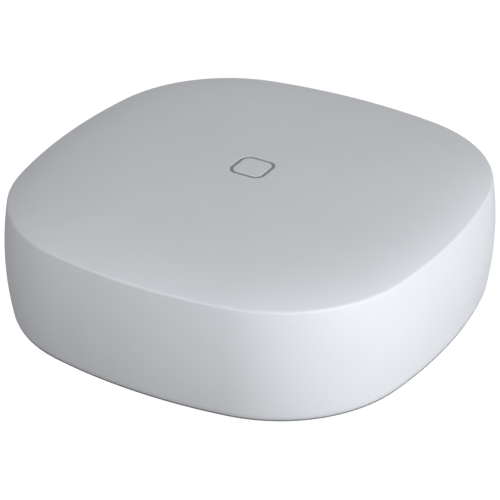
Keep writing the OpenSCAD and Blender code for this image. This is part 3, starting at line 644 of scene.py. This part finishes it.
def cut_bay(bm, bay, loops, rows, columns, inset, grows):
    """Fills a block of the wall with loops that run from its border to the bay's edge.
    grows are the last loops' (growth, extra depth); returns the last loop"""
    ring = patch_ring(rows, columns)
    border = [loops[r][c] for r, c in ring]
    counts = (columns[1] - columns[0], rows[1] - rows[0]) * 2
    edge = bay.frame(grows[0][0], counts)
    before = border
    for share in PATCH_LOOPS:
        after = add_loop(bm, [
            bay.on_wall(vert.co.x + (x - vert.co.x) * share, vert.co.z + (z - vert.co.z) * share,
                        inset) for vert, (x, z) in zip(border, edge)])
        bridge(bm, before, after)
        before = after
    for grow, depth in grows:
        after = add_loop(
            bm, [bay.on_wall(x, z, inset) - Vector((0, depth, 0))
                 for x, z in bay.frame(grow, counts)])
        bridge(bm, before, after)
        before = after
    return before


def skin(bm, loops, hole):
    """Faces between neighbouring loops, except in the hole's rows and columns"""
    for r in range(len(loops) - 1):
        for c in range(AROUND):
            if hole[0][0] <= r < hole[0][1] and hole[1][0] <= c < hole[1][1]:
                continue
            n = (c + 1) % AROUND
            bm.faces.new((loops[r][c], loops[r][n], loops[r + 1][n], loops[r + 1][c]))


def polar_points(form, reach, lift):
    """Loop on the dome at a distance from the centre that depends on the direction"""
    points = []
    for i in range(AROUND):
        angle = 2 * math.pi * i / AROUND
        r = reach(angle)
        share = r / (form.rim_half * form.outline.reach(angle))
        points.append(Vector((r * math.cos(angle), r * math.sin(angle), form.top(share) + lift)))
    return points


def body_like(form, share):
    """Reach of the body's outline at a share of the way to the rim"""
    return lambda angle: share * form.rim_half * form.outline.reach(angle)


def square_like(half, radius):
    """Reach of a square with round corners"""
    return lambda angle: square_reach(angle, half, radius)


def between(a, b, share):
    """Reach between two reaches"""
    return lambda angle: a(angle) * (1 - share) + b(angle) * share


def top_loops(bm, form, body):
    """Loops from the roll of the top to the groove of the light ring and the centre"""
    low, high = (Vector(c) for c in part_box("light_ring"))
    ring_half = (high.x - low.x) / 2 - body.ring_line / 2
    outer = ring_half + body.ring_line / 2 + body.ring_seam
    inner = ring_half - body.ring_line / 2 - body.ring_seam
    outer_radius = body.ring_radius + body.ring_line / 2
    inner_radius = body.ring_radius - body.ring_line / 2
    soft = body.ring_seam
    groove = high.z - GROOVE_DEPTH - form.z_top
    rows = [(body_like(form, share), 0) for share in TOP_SHARES]
    edge = square_like(outer + RING_MARGIN, outer_radius + RING_MARGIN)
    rows += [(between(body_like(form, TOP_SHARES[-1]), edge, share), 0)
             for share in TO_RING_SHARES]
    rows += [(square_like(half, outer_radius + half - outer), lift) for half, lift in (
        (outer + soft, 0), (outer + soft * ROUND_MIDDLE, -soft * ROUND_MIDDLE),
        (outer, -soft), (outer, groove))]
    rows += [(square_like(half, inner_radius + half - inner), lift) for half, lift in (
        (inner, groove), (inner, -soft), (inner - soft * ROUND_MIDDLE, -soft * ROUND_MIDDLE),
        (inner - soft, 0), (inner - RING_MARGIN, 0))]
    centre = square_like(inner - RING_MARGIN, inner_radius - RING_MARGIN)
    rows += [(between(lambda angle: 0.0, centre, share), 0) for share in TO_CENTRE_SHARES]
    return [add_loop(bm, polar_points(form, reach, lift)) for reach, lift in rows]


def screw_places(node):
    """Place of each screw of a CAD node, one in each quarter"""
    places = []
    for sx, sy in ((1, 1), (-1, 1), (-1, -1), (1, -1)):
        own = [v.co for v in NODES[node].data.vertices if v.co.x * sx > 0 and v.co.y * sy > 0]
        xs, ys = [c.x for c in own], [c.y for c in own]
        places.append(((min(xs) + max(xs)) / 2, (min(ys) + max(ys)) / 2))
    return places


def add_pillar(bm, form, place, foot, radius, bore, depth):
    """Round screw pillar that hangs from the inside of the dome, with a blind hole"""
    x, y = place
    rim = form.rim_half * form.outline.reach(math.atan2(y, x))
    root = form.top((math.hypot(x, y) + radius) / rim) - form.wall + PILLAR_SINK
    profile = ((bore, foot + depth), (bore, foot + PILLAR_SOFT), (bore + PILLAR_SOFT, foot),
               (radius - PILLAR_SOFT, foot), (radius, foot + PILLAR_SOFT), (radius, root))
    rings = [add_loop(bm, [(x + dx, y + dy, z) for dx, dy in circle(r, PILLAR_SIDES)])
             for r, z in profile]
    for a, b in zip(rings, rings[1:]):
        bridge(bm, a, b)
    close_loop(bm, rings[0], (x, y, foot + depth))
    close_loop(bm, rings[-1], (x, y, root))


def build_body(body):
    """Walls, rounded rim, domed top with its groove, bay and inside, and the screw pillars"""
    form = BodyForm(body)
    bay = RearBay(body, form)
    bm = bmesh.new()
    lip = body.lip
    wall = body.wall
    edge = form.edge(EDGE_STEPS)
    start = form.z_low + lip
    heights = [start + (edge[0].y - start) * i / WALL_ROWS for i in range(WALL_ROWS + 1)]
    low_edge = [(form.wall_half(form.z_low) - lip, form.z_low),
                (form.wall_half(form.z_low) - ROUND_MIDDLE * lip, form.z_low + ROUND_MIDDLE * lip)]
    outer = low_edge + [(form.wall_half(z), z) for z in heights[:-1]]
    outer += [(point.x, point.y) for point in edge]
    loops = [add_loop(bm, form.loop(half, z)) for half, z in outer]
    crown_loops = top_loops(bm, form, body)

    bay_low = bay.z - bay.height / 2 - PATCH_MARGIN
    bay_high = bay.z + bay.height / 2 + PATCH_MARGIN
    rows = (max(i for i, z in enumerate(heights) if z <= bay_low),
            min(i for i, z in enumerate(heights) if z >= bay_high))
    columns = (AROUND // 4 - PATCH_COLUMNS, AROUND // 4 + PATCH_COLUMNS)
    outer_rows = (rows[0] + len(low_edge), rows[1] + len(low_edge))
    skin(bm, loops + crown_loops, (outer_rows, columns))
    close_loop(bm, crown_loops[-1], (0, 0, form.z_top))
    rounding = [(lip * (1 - math.sin(turn)), lip * (1 - math.cos(turn))) for turn in LIP_TURNS]
    outside = cut_bay(bm, bay, loops, outer_rows, columns, 0, rounding)

    inner_loops = [add_loop(bm, form.loop(form.wall_half(z) - wall, z)) for z in heights[:-2]]
    inner_loops += [add_loop(bm, polar_points(form, body_like(form, share), -wall))
                    for share in INNER_SHARES]
    skin(bm, inner_loops, (rows, columns))
    close_loop(bm, inner_loops[-1], (0, 0, form.z_top - wall))
    inside = cut_bay(bm, bay, inner_loops, rows, columns, wall, [(0, 0)])
    bridge(bm, outside, inside)

    inner_edge = add_loop(bm, form.loop(form.wall_half(form.z_low) - wall, form.z_low))
    bridge(bm, inner_loops[0], inner_edge)
    bridge(bm, inner_edge, loops[0])
    # The walls' points that lie in the opening carry no face
    spare = [vert for vert in bm.verts if not vert.link_faces]
    bmesh.ops.delete(bm, geom=spare, context="VERTS")
    for node, *sizes in PILLARS:
        for place in screw_places(node):
            add_pillar(bm, form, place, *sizes)
    return finish_mesh(bm, "body_moulding", BODY_CREASE)


class HUB_OT_body(bpy.types.Operator):
    """Add the white body: domed top, bowed walls, rounded rim and rear opening"""

    bl_idname = "hub.body"
    bl_label = "Body"

    def execute(self, context):
        mesh = build_body(context.scene.hub_body)
        mounted(new_object("body_moulding", mesh), HOUSING, "white_moulding", "outer_shell")
        return {"FINISHED"}


class HUB_OT_light_ring(bpy.types.Operator):
    """Add the light ring: a flush rounded-square line with blades down to the LEDs"""

    bl_idname = "hub.light_ring"
    bl_label = "Light ring"

    def execute(self, context):
        body = context.scene.hub_body
        form = BodyForm(body)
        low, high = (Vector(c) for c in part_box("light_ring"))
        half = (high.x - low.x) / 2 - body.ring_line / 2
        line = body.ring_line / 2
        sink = high.z - form.z_top
        deep = sink - RING_DEPTH
        middle = ROUND_MIDDLE * RING_SOFT
        section = ((line, deep), (line, sink - RING_SOFT), (line - middle, sink - middle),
                   (line - RING_SOFT, sink), (RING_SOFT - line, sink),
                   (middle - line, sink - middle), (-line, sink - RING_SOFT), (-line, deep))
        bm = bmesh.new()
        loops = []
        for across, lift in section:
            reach = square_like(half + across, body.ring_radius + across)
            loops.append(add_loop(bm, polar_points(form, reach, lift)))
        for a, b in zip(loops, loops[1:] + loops[:1]):
            bridge(bm, a, b)
        for turn in range(4):
            self.blade(bm, turn * math.pi / 2, half, line, low.z, form.z_top + deep)
        mesh = finish_mesh(bm, "light_guide", BODY_CREASE)
        mounted(new_object("light_guide", mesh), HOUSING, "light_guide", "light_ring")
        return {"FINISHED"}

    @staticmethod
    def blade(bm, turn, half, line, z_low, z_high):
        """Flat light blade under one side of the ring"""
        side = BLADE_WIDTH / 2
        corners = ((-side, -line), (side, -line), (side, line), (-side, line))
        c, s = math.cos(turn), math.sin(turn)
        ends = []
        for z in (z_low, z_high):
            ends.append(add_loop(bm, [
                Vector((x * c - (half + y) * s, x * s + (half + y) * c, z)) for x, y in corners]))
        bridge(bm, ends[0], ends[1])
        bm.faces.new(reversed(ends[0]))
        bm.faces.new(ends[1])


# Pieces with rounded edges: name, CAD node, width of the rounding in millimetres, and the body
# they ride on where it isn't the housing
BASE_PIECES = (
    # The base plate wears the grey finish, which is partly painted shade along its thin edge below
    # the body
    ("base_moulding", "base_plate", 0.12),
    ("rubber_feet", "foot_pads", 0.2),
    ("base_plate_screws", "base_screws", 0.1),
    ("underside_label", "rating_label", 0.03),
)
SOCKET_PIECES = (
    ("socket_panel", "port_panel", 0.25),
    ("power_inlet_housing", "power_inlet", 0.2),
    ("power_centre_pin", "power_pin", 0.2),
    ("network_socket_housing", "ethernet_jack", 0.15),
    ("network_socket_shield", "ethernet_shield", 0.1),
    ("usb_socket_shield", "usb_shield", 0.1),
    ("usb_socket_tongue", "usb_tongue", 0.12),
)
RESET_PIECE = ("reset_button_cap", "reset_button", 0.3, RESET)
INSIDE_PIECES = (
    ("reflector_cup", "light_shade", 0.1),
    ("finned_sink", "heat_sink", 0.12),
    ("storage_coil", "power_inductor", 0.15),
    ("isolation_coil_block", "network_transformer", 0.1),
)


class HUB_OT_base(bpy.types.Operator):
    """Add the base plate, feet, screws and label with rounded edges"""

    bl_idname = "hub.base"
    bl_label = "Base"

    def execute(self, context):
        for row in BASE_PIECES:
            softened(*row)
        return {"FINISHED"}


class HUB_OT_sockets(bpy.types.Operator):
    """Add the socket panel and its sockets with rounded edges"""

    bl_idname = "hub.sockets"
    bl_label = "Socket bay"

    def execute(self, context):
        for row in SOCKET_PIECES:
            softened(*row)
        return {"FINISHED"}


class HUB_OT_reset(bpy.types.Operator):
    """Add the reset button, which slides in its hole"""

    bl_idname = "hub.reset"
    bl_label = "Reset button"

    def execute(self, context):
        softened(*RESET_PIECE)
        return {"FINISHED"}


class HUB_OT_inside(bpy.types.Operator):
    """Add the larger inner parts with rounded edges: the reflector cup, the heat sink and two coils
    """

    bl_idname = "hub.inside"
    bl_label = "Inside"

    def execute(self, context):
        for row in INSIDE_PIECES:
            softened(*row)
        return {"FINISHED"}


# ---------------------------------------------------------------- stage

# Paper, in metres: radius of the round sheet, radius of its bend, height of its wall, radius
# of the floor's innermost ring, and its gap under the feet
SWEEP_RADIUS = 2.4
SWEEP_BEND = 0.6
SWEEP_HEIGHT = 2.4
SWEEP_START = 0.2 * SWEEP_RADIUS
FLOOR_GAP = 0.2 * MM
SWEEP_STEPS = 8
SWEEP_SIDES = 96
PAPER_GLOW = 1.05
SENSOR_WIDTH = 36  # millimetres, as the camera's own unit
LIGHT_SIZE = 1.0
LIGHT_DISTANCE = 1.5
# Name, degrees round from the right, degrees up, share of the key light's power, and whether
# it shows as a gloss
SOFT_LIGHTS = (
    ("key_light", 330, 25, 1.0, True),
    ("right_light", 0, 25, 0.688, False),
    ("low_right_light", 0, 5, 1.0, False),
    ("left_light", 240, 25, 0.538, True),
    ("high_left_light", 240, 50, 0.226, True),
    ("rear_light", 120, 5, 0.139, True),
    ("low_rear_light", 120, -15, 1.0, False),
)


def lit_paper():
    """Evenly lit white paper, which can be looked through from behind"""
    material = bpy.data.materials.new("Lit white paper")
    material.use_nodes = True
    tree = material.node_tree
    tree.nodes.clear()
    glow = add_node(tree, "ShaderNodeEmission", {
        "Color": linear("#FFFFFF"), "Strength": PAPER_GLOW})
    clear = add_node(tree, "ShaderNodeBsdfTransparent", {})
    side = add_node(tree, "ShaderNodeNewGeometry", {})
    sheet = add_node(tree, "ShaderNodeMixShader", {
        0: side.outputs["Backfacing"], 1: glow.outputs[0], 2: clear.outputs[0]})
    add_node(tree, "ShaderNodeOutputMaterial", {"Surface": sheet.outputs[0]})
    return material


class HUB_OT_stage(bpy.types.Operator):
    """Add the white paper, the even fill, the soft lights and the camera"""

    bl_idname = "hub.stage"
    bl_label = "Stage and light"

    def execute(self, context):
        look = context.scene.hub_finish
        self.floor()
        self.world(look.fill)
        for name, turn, rise, share, gloss in SOFT_LIGHTS:
            light = self.soft_light(name, math.radians(turn), math.radians(rise),
                                    look.key_power * share)
            light.visible_glossy = gloss
        self.camera(context.scene, context.scene.hub_view)
        context.scene.view_settings.view_transform = "Standard"
        return {"FINISHED"}

    @staticmethod
    def floor():
        """Round sheet of paper that curves up into a wall all round"""
        bend = [(SWEEP_RADIUS - SWEEP_BEND * (1 - math.sin(turn)),
                 SWEEP_BEND * (1 - math.cos(turn)))
                for turn in (math.pi / 2 * i / SWEEP_STEPS for i in range(SWEEP_STEPS + 1))]
        profile = [(SWEEP_START, 0.0), *bend, (SWEEP_RADIUS, SWEEP_HEIGHT)]
        bm = bmesh.new()
        rings = [add_loop(bm, [(x, y, z - FLOOR_GAP) for x, y in circle(r, SWEEP_SIDES)])
                 for r, z in profile]
        for inner, outer in zip(rings, rings[1:]):
            bridge(bm, inner, outer)
        close_loop(bm, rings[0], (0, 0, -FLOOR_GAP))
        mesh = finish_mesh(bm, "floor")
        if mesh.polygons[-1].normal.z < 0:
            mesh.flip_normals()
        floor = new_object("floor", mesh)
        floor.data.materials.append(lit_paper())
        floor.visible_diffuse = False
        floor.visible_glossy = False
        floor.visible_shadow = False

    @staticmethod
    def world(strength):
        """Even white light from all round"""
        world = bpy.data.worlds.new("Even fill")
        world.use_nodes = True
        world.node_tree.nodes.clear()
        sky = add_node(world.node_tree, "ShaderNodeBackground", {
            "Color": linear("#FFFFFF"), "Strength": strength})
        add_node(world.node_tree, "ShaderNodeOutputWorld", {"Surface": sky.outputs[0]})
        bpy.context.scene.world = world

    @staticmethod
    def soft_light(name, turn, rise, power):
        """Round soft box that faces the object from a direction"""
        lamp = bpy.data.lights.new(name, "AREA")
        lamp.shape = "DISK"
        lamp.size = LIGHT_SIZE
        lamp.energy = power
        toward = Vector((math.cos(turn) * math.cos(rise), math.sin(turn) * math.cos(rise),
                         math.sin(rise)))
        light = new_object(name, lamp)
        light.location = toward * LIGHT_DISTANCE
        light.rotation_euler = toward.to_track_quat("Z", "Y").to_euler()
        return light

    @staticmethod
    def camera(scene, view):
        """Camera at the view's place, turned the way it looks"""
        turn, rise = view.azimuth, view.elevation
        right = Vector((math.cos(turn), math.sin(turn), 0))
        back = Vector((math.sin(turn) * math.cos(rise), -math.cos(turn) * math.cos(rise),
                       math.sin(rise)))
        up = back.cross(right)
        lens = bpy.data.cameras.new("camera")
        lens.lens = view.focal_length
        lens.sensor_width = SENSOR_WIDTH
        camera = new_object("camera", lens)
        camera.location = (right * view.side_shift + up * view.rise_shift + back * view.distance
                           + Vector((0, 0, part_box("base_plate")[0][2])))
        camera.rotation_euler = back.to_track_quat("Z", "Y").to_euler()
        camera.rotation_euler.rotate_axis("Z", view.roll)
        scene.camera = camera


class HUB_PT_build(bpy.types.Panel):
    """Buttons and sizes of the hub, in the sidebar of the 3D view"""

    bl_idname = "HUB_PT_build"
    bl_label = "Smart home hub"
    bl_space_type = "VIEW_3D"
    bl_region_type = "UI"
    bl_category = "Hub"

    def draw(self, context):
        layout = self.layout
        for step in OPERATORS:
            layout.operator(step.bl_idname)
        for group in (context.scene.hub_body, context.scene.hub_finish, context.scene.hub_view):
            box = layout.box()
            for name in group.__annotations__:
                box.prop(group, name)


# ---------------------------------------------------------------- add-on

GROUPS = {"hub_body": HubBody, "hub_finish": HubFinish, "hub_view": HubView}
OPERATORS = (HUB_OT_finishes, HUB_OT_body, HUB_OT_light_ring, HUB_OT_base, HUB_OT_sockets,
             HUB_OT_reset, HUB_OT_inside, HUB_OT_stage)


def register():
    for kind in (*GROUPS.values(), *OPERATORS, HUB_PT_build):
        bpy.utils.register_class(kind)
    for name, kind in GROUPS.items():
        setattr(bpy.types.Scene, name, bpy.props.PointerProperty(type=kind))


def unregister():
    for name in GROUPS:
        delattr(bpy.types.Scene, name)
    for kind in reversed((*GROUPS.values(), *OPERATORS, HUB_PT_build)):
        bpy.utils.unregister_class(kind)


def main():
    register()
    bpy.ops.hub.finishes()
    bpy.ops.hub.body()
    bpy.ops.hub.light_ring()
    bpy.ops.hub.base()
    bpy.ops.hub.sockets()
    bpy.ops.hub.reset()
    bpy.ops.hub.inside()
    bpy.ops.hub.stage()


if __name__ == "__main__":
    main()
